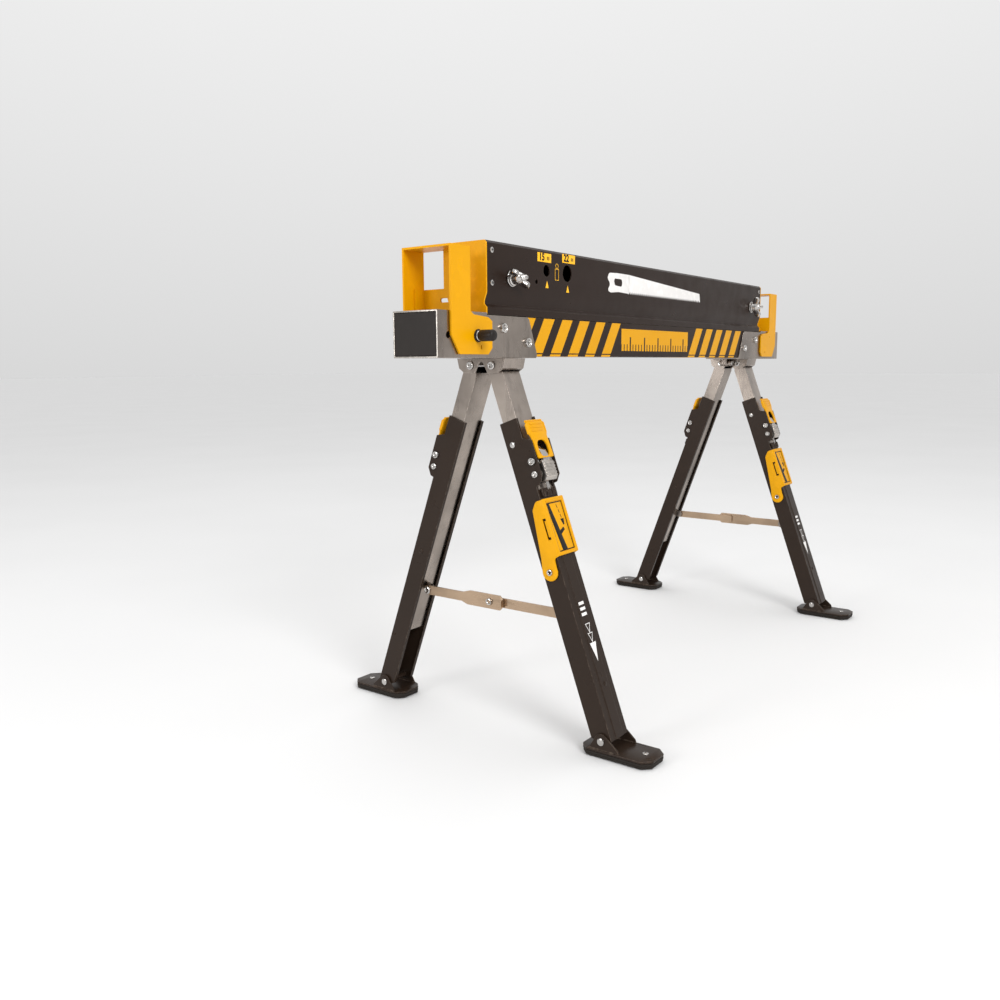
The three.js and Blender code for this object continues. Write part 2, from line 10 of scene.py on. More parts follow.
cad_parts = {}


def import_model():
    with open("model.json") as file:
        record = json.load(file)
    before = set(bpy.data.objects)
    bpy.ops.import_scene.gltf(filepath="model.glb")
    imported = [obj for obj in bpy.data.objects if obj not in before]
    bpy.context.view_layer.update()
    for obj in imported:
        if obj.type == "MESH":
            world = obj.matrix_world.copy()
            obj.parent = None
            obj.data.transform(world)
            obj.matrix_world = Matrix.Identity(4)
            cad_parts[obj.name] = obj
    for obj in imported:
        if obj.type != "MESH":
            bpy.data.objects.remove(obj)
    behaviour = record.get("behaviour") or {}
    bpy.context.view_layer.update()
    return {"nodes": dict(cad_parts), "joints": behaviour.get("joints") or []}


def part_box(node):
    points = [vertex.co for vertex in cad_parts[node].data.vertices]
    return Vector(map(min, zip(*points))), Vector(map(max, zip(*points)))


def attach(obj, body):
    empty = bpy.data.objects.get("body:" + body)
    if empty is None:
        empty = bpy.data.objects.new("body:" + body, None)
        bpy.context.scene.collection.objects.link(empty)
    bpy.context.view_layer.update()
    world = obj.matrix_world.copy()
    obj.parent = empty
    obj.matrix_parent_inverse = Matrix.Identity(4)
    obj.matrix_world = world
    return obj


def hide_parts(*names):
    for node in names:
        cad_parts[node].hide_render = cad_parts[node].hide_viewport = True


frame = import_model()
JOINTS = {j["name"]: j for j in frame["joints"]}
MM = 0.001
ENDS = ("left", "right")
LEGS = [f"{end}_{side}" for end in ENDS for side in ("front", "back")]
TUBE_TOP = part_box("lower_tube")[1].z / MM
BEAM_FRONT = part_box("upper_beam")[0].y / MM
SLEEVE_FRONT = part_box("left_sleeve")[0].y / MM


# ---- materials ----------------------------------------------------------------------------
PAINT_EDGE, METAL_EDGE = 0.0009, 0.0011  # how far from an edge the paler edges reach, in metres: on paint part wear and part painted highlight, on metal a painted highlight
ON_FLAT, ON_EDGE = 0.995, 0.9  # cosine between the softened and the true normal
EVEN = (1, 1, 1)  # no stretch
PAINT_SPECULAR, PLASTIC_SPECULAR = 0.16, 0.2


class Graph:
    """A material's node tree, with short calls for the nodes used here."""

    def __init__(self, name):
        self.material = bpy.data.materials.new(name)
        self.material.use_nodes = True
        self.tree = self.material.node_tree
        self.tree.nodes.clear()
        output = self.tree.nodes.new("ShaderNodeOutputMaterial")
        self.shader = self.tree.nodes.new("ShaderNodeBsdfPrincipled")
        self.tree.links.new(self.shader.outputs[0], output.inputs[0])
        self.place = self.node("ShaderNodeTexCoord").outputs["Object"]

    def node(self, kind, inputs=None, **properties):
        """Adds a node with its properties set and its inputs fed."""
        made = self.tree.nodes.new(kind)
        for key, value in properties.items():
            setattr(made, key, value)
        for key, value in (inputs or {}).items():
            self.feed(made.inputs[key], value)
        return made

    def feed(self, socket, value):
        """Links another node's output to a socket, or sets the socket's own value."""
        if isinstance(value, bpy.types.NodeSocket):
            self.tree.links.new(value, socket)
        else:
            socket.default_value = value

    def math(self, operation, a, b=0.0):
        return self.node("ShaderNodeMath", {0: a, 1: b}, operation=operation).outputs[0]

    def noise(self, scale, detail=3.0, stretch=EVEN):
        """Noise in object space, stretched along the axes with a small factor."""
        vector = self.node("ShaderNodeMapping", {"Vector": self.place, "Scale": stretch}).outputs[0]
        inputs = {"Vector": vector, "Scale": scale, "Detail": detail}
        return self.node("ShaderNodeTexNoise", inputs).outputs["Fac"]

    def remap(self, value, low, high, to_low, to_high):
        """Takes a value from one range to another, held at the range's ends."""
        inputs = {"Value": value, 1: low, 2: high, 3: to_low, 4: to_high}
        return self.node("ShaderNodeMapRange", inputs).outputs[0]

    def mix(self, factor, a, b):
        """A colour between two others."""
        made = self.node("ShaderNodeMix", data_type="RGBA")
        self.feed(made.inputs["Factor"], factor)
        self.feed(made.inputs[6], a)
        self.feed(made.inputs[7], b)
        return made.outputs[2]

    def bump(self, height, depth):
        inputs = {"Height": height, "Distance": depth, "Strength": 1.0}
        return self.node("ShaderNodeBump", inputs).outputs[0]

    def edges(self, radius):
        """One on outer edges, nought on flat faces, broken up by noise."""
        softened = self.node("ShaderNodeBevel", {"Radius": radius}, samples=4).outputs[0]
        normal = self.node("ShaderNodeNewGeometry").outputs["Normal"]
        facing = self.node("ShaderNodeVectorMath", {0: softened, 1: normal}, operation="DOT_PRODUCT")
        edge = self.remap(facing.outputs["Value"], ON_FLAT, ON_EDGE, 0, 1)
        return self.math("MULTIPLY", edge, self.remap(self.noise(180, 4), 0.4, 0.62, 0, 1))


def shade(color, factor):
    """A colour made darker or lighter, with its alpha."""
    return tuple(c * factor for c in color[:3]) + (1,)


def paint(name, color, worn_and_lit_edge, roughness=0.36, contrast=0.16, edge=0.5):
    """Powder coat: a slight orange peel, faint clouding and paler edges, part wear and part painted
    edge highlight.
    """
    g = Graph(name)
    cloud = g.noise(9, 5)
    base = g.mix(cloud, shade(color, 1 - contrast), shade(color, 1 + contrast))
    dust = g.remap(g.noise(60, 6), 0.55, 0.8, 0, 0.25)
    base = g.mix(dust, base, shade(color, 1.35))
    # paler edges: part wear, part painted edge highlight
    edge_wear_and_highlight = g.math("MULTIPLY", g.edges(PAINT_EDGE), edge)
    g.feed(g.shader.inputs["Base Color"], g.mix(edge_wear_and_highlight, base, worn_and_lit_edge))
    rough = g.remap(g.noise(35, 6), 0.3, 0.7, roughness - 0.07, roughness + 0.09)
    g.feed(g.shader.inputs["Roughness"], rough)
    g.feed(g.shader.inputs["Specular IOR Level"], PAINT_SPECULAR)
    g.feed(g.shader.inputs["Normal"], g.bump(g.noise(900, 2), 0.00004))
    return g


def metal(name, color, roughness, brush=EVEN, contrast=0.2, depth=0.00003):
    """Plated steel: cloudy tone, fine brushing, scattered scuffs and a painted highlight on the edges.
    """
    g = Graph(name)
    cloud = g.remap(g.noise(14, 6), 0.3, 0.7, 0, 1)
    base = g.mix(cloud, shade(color, 1 - contrast), shade(color, 1 + contrast))
    scuff = g.remap(g.noise(110, 8, brush), 0.56, 0.72, 0, 0.5)
    base = g.mix(scuff, base, shade(color, 0.62))
    # painted highlight: the edges lightened towards twice the base colour
    painted_edge_highlight = g.math("MULTIPLY", g.edges(METAL_EDGE), 0.85)
    g.feed(g.shader.inputs["Base Color"], g.mix(painted_edge_highlight, base, shade(color, 2.0)))
    g.feed(g.shader.inputs["Metallic"], 1.0)
    rough = g.remap(g.noise(42, 7, brush), 0.3, 0.7, roughness * 0.75, roughness * 1.35)
    g.feed(g.shader.inputs["Roughness"], rough)
    g.feed(g.shader.inputs["Normal"], g.bump(g.noise(600, 4, brush), depth))
    return g


def plastic(name, color, roughness, grain=500, depth=0.00005, contrast=0.1):
    """Moulded plastic or rubber with a fine grain."""
    g = Graph(name)
    base = g.mix(g.noise(20, 4), shade(color, 1 - contrast), shade(color, 1 + contrast))
    dust = g.remap(g.noise(90, 6), 0.52, 0.8, 0, 0.3)
    g.feed(g.shader.inputs["Base Color"], g.mix(dust, base, shade(color, 1.7)))
    g.feed(g.shader.inputs["Specular IOR Level"], PLASTIC_SPECULAR)
    rough = g.remap(g.noise(50, 5), 0.3, 0.7, roughness - 0.08, roughness + 0.08)
    g.feed(g.shader.inputs["Roughness"], rough)
    g.feed(g.shader.inputs["Normal"], g.bump(g.noise(grain, 2), depth))
    return g


BROWN = (0.02, 0.011, 0.0075)
AMBER = (0.72, 0.335, 0.0)
BEAM_PAINT = paint("beam_paint", BROWN, (0.12, 0.1, 0.085, 1), 0.34, edge=0.6).material
LEG_PAINT = paint("leg_paint", (0.025, 0.0155, 0.0105), (0.17, 0.13, 0.1, 1), 0.33, edge=0.8).material
YELLOW = paint("yellow_paint", AMBER, (0.6, 0.24, 0.02, 1), 0.34, 0.06, 0.4).material
ZINC = metal("zinc_sheet", (0.33, 0.285, 0.25), 0.27, (1, 1, 0.25), 0.3).material
CAST_ZINC = metal("cast_zinc", (0.52, 0.48, 0.44), 0.3).material
LINK_STEEL = metal("link_steel", (0.42, 0.305, 0.21), 0.28, (1, 0.12, 1)).material
BRIGHT = metal("bright_plating", (0.5, 0.48, 0.46), 0.15, contrast=0.1, depth=0.00001).material
PLASTIC = plastic("dark_plastic", (0.021, 0.017, 0.015), 0.42).material
KNOB = plastic("knob_plastic", (0.016, 0.013, 0.012), 0.38, 300).material
RUBBER = plastic("sole_rubber", (0.02, 0.016, 0.013), 0.72, 420, 0.0001).material
YELLOW_PLASTIC = plastic("yellow_plastic", AMBER, 0.4, 420, 0.00002, 0.05).material
WHITE_INK = plastic("white_ink", (0.78, 0.76, 0.74), 0.45, 700, 0.00001, 0.04).material
YELLOW_INK = plastic("yellow_ink", (0.95, 0.5, 0.02), 0.45, 700, 0.00001, 0.05).material
# this black also paints the shade in the screws' cross recesses
BLACK_INK_AND_SHADE = plastic("black_ink_and_shade", (0.012, 0.011, 0.01), 0.45, 700, 0.00001).material


# The lower tube's print and its painted fold shade, in millimetres along X and down from the tube's
# top.
STRIPE_LEAN = 0.64  # along for each one down
LEFT_STRIPES = (-410, -112, 45, 0.567)  # start, stop, pitch, yellow share of the pitch
RIGHT_STRIPES = (151.7, 364, 43.2, 0.6)
STRIPE_TOP = 0.6
FOLD_SHADE = (45.6, 47.2)  # painted shade: a dark line along the tube's lower fold
PANEL_X, PANEL_DOWN = (-112, 118), (8, 41)
SHORT_TICKS, LONG_TICKS = (9.2, 2.6, 10), (46, 4, 21)  # pitch, width, height
TICK_ORIGIN = 500


def hazard_paint():
    """Slanted yellow stripes on the tube's sides, with a ruled yellow panel between two runs."""
    g = paint("hazard_paint", BROWN, (0.2, 0.15, 0.08, 1), 0.36)
    parts = g.node("ShaderNodeSeparateXYZ", {0: g.place})
    x = g.math("DIVIDE", parts.outputs[0], MM)
    below = g.math("SUBTRACT", TUBE_TOP, g.math("DIVIDE", parts.outputs[2], MM))

    def inside(value, low, high):
        over = g.math("GREATER_THAN", value, low)
        return g.math("MULTIPLY", over, g.math("LESS_THAN", value, high))

    leaning = g.math("ADD", x, g.math("MULTIPLY", below, STRIPE_LEAN))

    def run(start, stop, pitch, share):
        phase = g.math("FRACT", g.math("DIVIDE", g.math("SUBTRACT", leaning, start), pitch))
        return g.math("MULTIPLY", g.math("LESS_THAN", phase, share), inside(leaning, start, stop))

    def ticks(pitch, width, height):
        phase = g.math("FRACT", g.math("DIVIDE", g.math("ADD", x, TICK_ORIGIN), pitch))
        upright = g.math("LESS_THAN", phase, width / pitch)
        return g.math("MULTIPLY", upright, g.math("GREATER_THAN", below, PANEL_DOWN[1] - height))

    marks = g.math("MAXIMUM", ticks(*SHORT_TICKS), ticks(*LONG_TICKS))
    panel = g.math("MULTIPLY", inside(x, *PANEL_X), inside(below, *PANEL_DOWN))
    ruler = g.math("MULTIPLY", panel, g.math("SUBTRACT", 1, marks))
    stripes = g.math("MAXIMUM", run(*LEFT_STRIPES), run(*RIGHT_STRIPES))
    stripes = g.math("MULTIPLY", stripes, g.math("GREATER_THAN", below, STRIPE_TOP))
    # painted shade: the stripes stop in a band along the lower fold, leaving a dark line
    stripes = g.math("MULTIPLY", stripes, g.math("SUBTRACT", 1, inside(below, *FOLD_SHADE)))
    yellow = g.math("MAXIMUM", stripes, ruler)
    ground = g.shader.inputs["Base Color"].links[0].from_socket
    amber = g.mix(g.noise(12, 5), shade(AMBER, 0.9), shade(AMBER, 1.03))
    g.feed(g.shader.inputs["Base Color"], g.mix(yellow, ground, amber))
    return g.material


HAZARD = hazard_paint()


# ---- mesh parts, in millimetres -----------------------------------------------------------
def axes(right, up, out, at=(0, 0, 0)):
    """The matrix that takes X, Y and Z to three directions, with its origin at a point."""
    return Matrix.Translation(at) @ Matrix((right, up, out)).transposed().to_4x4()


X, Y, Z = Vector((1, 0, 0)), Vector((0, 1, 0)), Vector((0, 0, 1))
ACROSS_X = axes(Y, Z, X)  # outlines (y, z), thickness along X
ACROSS_Y = axes(X, Z, -Y)  # outlines (x, z), thickness along -Y
ACROSS_Z = axes(X, Y, Z)  # outlines (x, y), thickness along Z
SHARP = 0.05  # a corner with a smaller radius stays sharp
STRAIGHT = math.pi - 0.02  # so does one that hardly turns
EDGE_SHARE = 0.45  # the most of a plate's thickness that its rounded edge takes
SAME_PLACE = 0.002  # vertices this near each other are one
SMOOTH_ANGLE = math.radians(38)


def rounded(corners, radius, steps=4):
    """A closed outline with each corner rounded. A corner may carry its own radius."""
    points = []
    for i, corner in enumerate(corners):
        here = Vector(corner[:2])
        size = corner[2] if len(corner) > 2 else radius
        before = (Vector(corners[i - 1][:2]) - here).normalized()
        after = (Vector(corners[(i + 1) % len(corners)][:2]) - here).normalized()
        turn = before.angle(after)
        if size < SHARP or turn > STRAIGHT:
            points.append(here)
            continue
        reach = size / math.tan(turn / 2)
        start, stop = here + before * reach, here + after * reach
        centre = here + (before + after).normalized() * (size / math.sin(turn / 2))
        a, b = start - centre, stop - centre
        swing = a.angle_signed(b)
        for step in range(steps + 1):
            spoke = a.copy()
            spoke.rotate(Matrix.Rotation(-swing * step / steps, 2))
            points.append(centre + spoke)
    return points


def ring(u, v, radius, steps=20):
    """The points of a circle."""
    spokes = [2 * math.pi * i / steps for i in range(steps)]
    return [Vector((u + radius * math.cos(a), v + radius * math.sin(a))) for a in spokes]


def rectangle(u0, u1, v0, v1):
    return [(u0, v0), (u1, v0), (u1, v1), (u0, v1)]


def mirrored(half):
    """A symmetrical outline from its left half, with or without corner radii."""
    return [*half, *((-point[0], *point[1:]) for point in reversed(half))]


def curve_mesh(curve):
    """Turns a curve into a mesh, and removes the curve."""
    carrier = bpy.data.objects.new("carrier", curve)
    mesh = bpy.data.meshes.new_from_object(carrier)
    bpy.data.objects.remove(carrier)
    bpy.data.curves.remove(curve)
    return mesh


def polyline(curve, points, cyclic):
    """Adds a straight-sided spline to a curve."""
    spline = curve.splines.new("POLY")
    spline.points.add(len(points) - 1)
    for point, target in zip(spline.points, points):
        padded = tuple(target) + (0,) * (3 - len(target))
        point.co = padded + (1,)
    spline.use_cyclic_u = cyclic


def plate(outline, low, high, plane, edge=0.4, holes=()):
    """A sheet cut to an outline, from low to high along the plane's thickness, edges rounded."""
    curve = bpy.data.curves.new("plate", "CURVE")
    curve.dimensions = "2D"
    curve.fill_mode = "BOTH"
    edge = min(edge, (high - low) * EDGE_SHARE)
    curve.extrude = (high - low) / 2 - edge
    curve.bevel_depth = edge
    curve.bevel_resolution = 1
    curve.offset = -edge
    for points in (outline, *holes):
        polyline(curve, points, True)
    mesh = curve_mesh(curve)
    mesh.transform(plane @ Matrix.Translation((0, 0, (low + high) / 2)))
    return mesh


def lathe(profile, plane, at, steps=24):
    """Turns (radius, height) points about the plane's thickness axis."""
    bm = bmesh.new()
    rows = []
    for radius, height in profile:
        if radius < 1e-6:
            rows.append([bm.verts.new((0, 0, height))] * steps)
            continue
        spokes = ring(0, 0, radius, steps)
        rows.append([bm.verts.new((spoke.x, spoke.y, height)) for spoke in spokes])
    for low, high in zip(rows, rows[1:]):
        for i in range(steps):
            j = (i + 1) % steps
            corners = list(dict.fromkeys((low[i], low[j], high[j], high[i])))
            if len(corners) > 2:
                bm.faces.new(corners)
    bmesh.ops.recalc_face_normals(bm, faces=bm.faces)
    mesh = bpy.data.meshes.new("lathe")
    bm.to_mesh(mesh)
    bm.free()
    mesh.transform(Matrix.Translation(at) @ plane)
    return mesh


def wire(points, radius):
    """A round wire along points."""
    curve = bpy.data.curves.new("wire", "CURVE")
    curve.dimensions = "3D"
    curve.bevel_depth = radius
    curve.bevel_resolution = 2
    curve.use_fill_caps = True
    polyline(curve, points, False)
    return curve_mesh(curve)


def coil(start, stop, radius, turns, thickness, y, z):
    """A coil spring along X."""
    per_turn = 12
    points = []
    for i in range(turns * per_turn + 1):
        a = 2 * math.pi * i / per_turn
        x = start + (stop - start) * i / (turns * per_turn)
        points.append((x, y + radius * math.cos(a), z + radius * math.sin(a)))
    return wire(points, thickness)


def digits(text, size, matrix):
    """Flat raised numerals, thickened a little all round."""
    curve = bpy.data.curves.new("digits", "FONT")
    curve.body = text
    curve.size = size
    curve.extrude = 0.08
    curve.offset = 0.5
    curve.resolution_u = 3
    mesh = curve_mesh(curve)
    mesh.transform(matrix)
    return mesh


class Piece:
    """Gathers mesh parts, each with its material, into one mesh in metres."""

    def __init__(self, *parts):
        self.bm = bmesh.new()
        self.materials = []
        for part, material in parts:
            self.add(part, material)

    def add(self, part, material):
        if material not in self.materials:
            self.materials.append(material)
        first = len(self.bm.faces)
        self.bm.from_mesh(part)
        self.bm.faces.ensure_lookup_table()
        for face in self.bm.faces[first:]:
            face.material_index = self.materials.index(material)
            face.smooth = True
        bpy.data.meshes.remove(part)

    def mesh(self, name):
        bmesh.ops.remove_doubles(self.bm, verts=self.bm.verts, dist=SAME_PLACE)
        self.bm.transform(Matrix.Scale(MM, 4))
        mesh = bpy.data.meshes.new(name)
        self.bm.to_mesh(mesh)
        self.bm.free()
        for material in self.materials:
            mesh.materials.append(material)
        mesh.set_sharp_from_angle(angle=SMOOTH_ANGLE)
        return mesh


def place(mesh, name, matrix, body, slot, *replaced):
    """Puts a mesh in the CAD frame, riding on a body and standing for the nodes it replaces."""
    piece = bpy.data.objects.new(name, mesh)
    bpy.context.scene.collection.objects.link(piece)
    piece.matrix_world = matrix
    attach(piece, body)
    if replaced:
        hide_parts(*replaced)


# ---- frames -------------------------------------------------------------------------------
def end_frame(end):
    """The left end's own coordinates. The right end is a half turn about Z."""
    return Matrix.Rotation(0 if end == "left" else math.pi, 4, "Z")


def leg_frame(leg):
    """Origin at the leg's hinge, -Z down the leg, -Y on its outer side."""
    up = Vector(JOINTS[f"{leg}_leg_slide"]["axis"]).normalized()
    right = X if "front" in leg else -X
    return axes(right, up.cross(right), up, JOINTS[f"{leg}_leg_fold"]["pos_m"])


def foot_frame(leg):
    """Origin at the foot's hinge, upright, -Y on the leg's outer side."""
    right = X if "front" in leg else -X
    return axes(right, Z.cross(right), Z, JOINTS[f"{leg}_foot_tilt"]["pos_m"])


# ---- CAD nodes that stay in view ----------------------------------------------------------
WELD = 0.00001  # metres
FLAT_ANGLE, BEVEL_ANGLE = math.radians(0.5), math.radians(33)


def dress(node, material, edge=0.6, segments=2):
    """Gives a CAD node its material, softened edges (in mm) and smooth round faces."""
    obj = frame["nodes"][node]
    obj.data.materials.clear()
    obj.data.materials.append(material)
    obj.data.polygons.foreach_set("use_smooth", [True] * len(obj.data.polygons))
    if "custom_normal" in obj.data.attributes:
        obj.data.attributes.remove(obj.data.attributes["custom_normal"])
    weld = obj.modifiers.new("weld", "WELD")
    weld.merge_threshold = WELD
    flat = obj.modifiers.new("flat_faces", "DECIMATE")
    flat.decimate_type = "DISSOLVE"
    flat.angle_limit = FLAT_ANGLE
    bevel = obj.modifiers.new("edges", "BEVEL")
    bevel.width = edge * MM
    bevel.segments = segments
    bevel.limit_method = "ANGLE"
    bevel.angle_limit = BEVEL_ANGLE
    bevel.harden_normals = True


dress("lower_tube", HAZARD, 0.8)
dress("upper_beam", BEAM_PAINT, 0.9)
for end in ENDS:
    dress(f"{end}_end_cap", YELLOW_PLASTIC, 0.5)
    dress(f"{end}_end_plug", PLASTIC, 0.6)
    dress(f"{end}_sleeve", ZINC, 0.45)
    dress(f"{end}_end_bracket", YELLOW, 0.5)
    dress(f"{end}_fold_knuckle", ZINC, 0.5)
    dress(f"{end}_leg_yoke", ZINC, 0.5)
for leg in LEGS:
    dress(f"{leg}_inner_tube", ZINC, 1.4, 3)
    dress(f"{leg}_leg_channel", LEG_PAINT, 0.5)
    dress(f"{leg}_spreader_link", LINK_STEEL, 0.3)


# ---- fasteners ----------------------------------------------------------------------------
OUT_LEFT = ACROSS_X @ Matrix.Rotation(math.pi, 4, "Y")  # heads facing -X
OUT_RIGHT = ACROSS_X  # heads facing +X
OUT_FRONT = ACROSS_Y  # heads facing -Y
OUT_BACK = axes(-X, Z, Y)  # heads facing +Y
CROSS_TURN = 0.5  # radians

# The left end's fastenings, in its own millimetres; heights are from the tube's top.
SLEEVE_RIVETS = ((-415.4, -15.5), (-362.8, -32.5))
CAP_SCREW_X, CAP_SCREW_HEIGHTS = -434.3, (77.6, 38.6)
WING_SPIN = {"left": 0.5, "right": 1.3}  # radians


def dome(radius, height, plane, at, base=0.6):
    """A round rivet head standing on its plane."""
    steps = 5
    profile = [(radius, 0), (radius, base * 0.6)]
    for i in range(1, steps):
        a = math.pi / 2 * i / steps
        profile.append((radius * math.cos(a), base + (height - base) * math.sin(a)))
    return lathe(profile + [(0, height)], plane, at)


def dimpled(radius, height, plane, at):
    """A turned-over rivet head with a hollow in its middle."""
    profile = [
        (radius, 0),
        (radius, height * 0.5),
        (radius * 0.88, height * 0.9),
        (radius * 0.72, height),
        (radius * 0.55, height * 0.82),
        (radius * 0.42, height * 0.35),
        (0, height * 0.3),
    ]
    return lathe(profile, plane, at)


def cross_screw(plane, at, radius=3.6):
    """A pan head whose cross recess is painted shade, flat black bars, as (mesh, material) pairs."""
    head = dome(radius, 1.7, plane, at)
    # painted shade: flat black bars stand in for the shadowed cross recess
    recess_shade = []
    for turn in (CROSS_TURN, CROSS_TURN + math.pi / 2):
        bar = plate(rectangle(-radius * 0.55, radius * 0.55, -0.45, 0.45), 1.1, 1.75, Matrix(), 0.1)
        bar.transform(Matrix.Translation(at) @ plane @ Matrix.Rotation(turn, 4, "Z"))
        recess_shade.append((bar, BLACK_INK_AND_SHADE))
    return [(head, BRIGHT), *recess_shade]


def sleeve_rivets():
    """Big rivets through the sleeve, on both its sides."""
    piece = Piece()
    for x, z in SLEEVE_RIVETS:
        piece.add(dimpled(6.6, 4.2, OUT_FRONT, (x, SLEEVE_FRONT, TUBE_TOP + z)), BRIGHT)
        piece.add(dimpled(6.6, 4.2, OUT_BACK, (x, -SLEEVE_FRONT, TUBE_TOP + z)), BRIGHT)
    return piece.mesh("sleeve_rivets")


def cap_screws():
    """Screws that hold the upper beam's end cap, on both faces of the beam."""
    piece = Piece()
    for z in CAP_SCREW_HEIGHTS:
        for plane, y in ((OUT_FRONT, BEAM_FRONT), (OUT_BACK, -BEAM_FRONT)):
            for part, material in cross_screw(plane, (CAP_SCREW_X, y, TUBE_TOP + z)):
                piece.add(part, material)
    return piece.mesh("cap_screws")


def plunger_knob():
    """The bracket's pull knob, with its bright collar, along -Y."""
    low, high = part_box("left_plunger")
    x, z = (low.x + high.x) / 2 / MM, (low.z + high.z) / 2 / MM
    start, stop = -high.y / MM, -low.y / MM
    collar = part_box("left_end_bracket")[1].y / MM + 0.3
    knob = [
        (0, collar + 3.2),
        (5.4, collar + 3.2),
        (5.4, collar + 5),
        (6.7, collar + 5.8),
        (7, collar + 7.5),
        (6.8, stop - 3.4),
        (6.1, stop - 1.4),
        (4.6, stop - 0.3),
        (0, stop),
    ]
    washer = [(0, 0), (7.6, 0), (7.9, 0.8), (7.4, 1.8), (0, 1.8)]
    washer = [(radius, collar + height) for radius, height in washer]
    nut = [(0, 1.7), (5.6, 1.7), (6.1, 2.4), (5.6, 3.3), (0, 3.3)]
    nut = [(radius, collar + height) for radius, height in nut]
    shaft = [(0, start), (3.5, start), (3.5, collar + 1), (0, collar + 1)]
    at = (x, 0, z)
    piece = Piece((lathe(knob, OUT_FRONT, at, 32), KNOB))
    piece.add(lathe(washer, OUT_FRONT, at, 32), KNOB)
    piece.add(lathe(nut, OUT_FRONT, at, 32), BRIGHT)
    piece.add(lathe(shaft, OUT_FRONT, at), BRIGHT)
    return piece.mesh("plunger_knob")


def wing_screw():
    """The fixed stud: a flanged collar on the beam and a threaded rod, along -Y from the beam."""
    crest, root, turns = 3, 2.45, 20
    thread = [(0, -4), (crest, -4), (crest, 3)]
    for i in range(turns):
        thread += [(root, 3.6 + i), (crest, 4.1 + i)]
    collar = [(0, 0.3), (10, 0.3), (10.5, 0.9), (10.5, 2.2), (9.7, 2.8), (8.6, 2), (7.4, 2.9), (0, 2.9)]
    piece = Piece((lathe(collar, OUT_FRONT, (0, 0, 0), 32), BRIGHT))
    piece.add(lathe(thread + [(2.4, 24.5), (0, 25.4)], OUT_FRONT, (0, 0, 0), 20), BRIGHT)
    return piece.mesh("wing_screw")


def wing_nut():
    """A wing nut: a stepped hub and two lobed wings, drawn about the stud's axis."""
    hub = [(3.4, 0), (9.2, 0), (9.4, 1.4), (8, 2.4), (7.2, 7), (8, 7.8), (7.8, 9.6), (6, 13)]
    piece = Piece((lathe(hub + [(4.8, 15), (3.4, 15)], OUT_FRONT, (0, -3.1, 0), 28), BRIGHT))
    lobe_u, lobe_v, lobe = 13.6, 12.2, 5.6
    sweep = [0.2 * i - 1.4 for i in range(21)]
    tip = [(lobe_u + lobe * math.cos(a), lobe_v + lobe * math.sin(a)) for a in sweep]
    for side in (-1, 1):
        outline = [(side * u, v) for u, v in [(3, 2.5), (8, 3), (11, 4.8), *tip, (4, 12.5)]]
        wing = plate(outline, -2.8, 2.8, axes(X, -Y, Z), 1.4)
        wing.transform(Matrix.Translation((0, -2, 0)) @ Matrix.Rotation(0.12 * side, 4, "Y"))
        piece.add(wing, BRIGHT)
    return piece.mesh("wing_nut")


rivet_mesh, screw_mesh, knob_mesh = sleeve_rivets(), cap_screws(), plunger_knob()
stud_mesh, nut_mesh = wing_screw(), wing_nut()
for end in ENDS:
    turned = end_frame(end)
    place(rivet_mesh, f"{end}_sleeve_rivets", turned, "beam", "bright_steel")
    place(screw_mesh, f"{end}_cap_screws", turned, "beam", "bright_steel")
    place(knob_mesh, f"{end}_plunger_knob", turned, f"{end}_plunger", "dark_plastic", f"{end}_plunger")
    pivot = Vector(JOINTS[f"{end}_wing_nut_turn"]["pos_m"])
    at = Matrix.Translation((pivot.x, BEAM_FRONT * MM, pivot.z))
    place(stud_mesh, f"{end}_wing_screw", at, "beam", "bright_steel", f"{end}_wing_stud")
    spun = at @ Matrix.Rotation(WING_SPIN[end], 4, "Y")
    place(nut_mesh, f"{end}_wing_nut_cast", spun, f"{end}_wing_nut", "bright_steel", f"{end}_wing_nut")


def turned_pin(node, length_axis):
    """A headed pin with hollow rivet ends, in the place of a CAD pin."""
    low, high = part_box(node)
    centre = (low + high) / 2 / MM
    half = (high - low)[length_axis] / 2 / MM
    radius = (high - low)[2] / 2 / MM
    planes = (OUT_LEFT, OUT_RIGHT) if length_axis == 0 else (OUT_FRONT, OUT_BACK)
    piece = Piece()
    for plane in planes:
        head = [
            (radius, half - 1.6),
            (radius, half - 0.7),
            (radius * 0.9, half - 0.15),
            (radius * 0.7, half),
            (radius * 0.52, half - 0.2),
            (radius * 0.46, half - 1.4),
            (0, half - 1.5),
        ]
        shaft = [(0, 0), (radius * 0.6, 0), (radius * 0.6, half - 1.6)]
        piece.add(lathe(shaft + head, plane, centre, 24), BRIGHT)
    return piece.mesh(node + "_turned")


for end in ENDS:
    pin = turned_pin(f"{end}_fold_pin", 1)
    place(pin, f"{end}_fold_rivet", Matrix(), "beam", "bright_steel", f"{end}_fold_pin")
for leg in LEGS:
    pin = turned_pin(f"{leg}_leg_pin", 0)
    body = leg.split("_")[0] + "_leg_pair"
    place(pin, f"{leg}_leg_rivet", Matrix(), body, "bright_steel", f"{leg}_leg_pin")


# The spreader: its rivet on the leg, and where the outer faces of its links are.
LINK_PIVOT = (19.5, -325)
BRACKET_FACE, PLAIN_FACE = 7.9, -4.7
MIDDLE_FACE = -403
BRACKET_LEGS = ("left_back", "right_front")


def link_rivet(plane, x):
    """The rivet head that holds a spreader link to its leg."""
    return Piece((dimpled(5.5, 2.8, plane, (x, *LINK_PIVOT)), BRIGHT)).mesh("link_rivet")


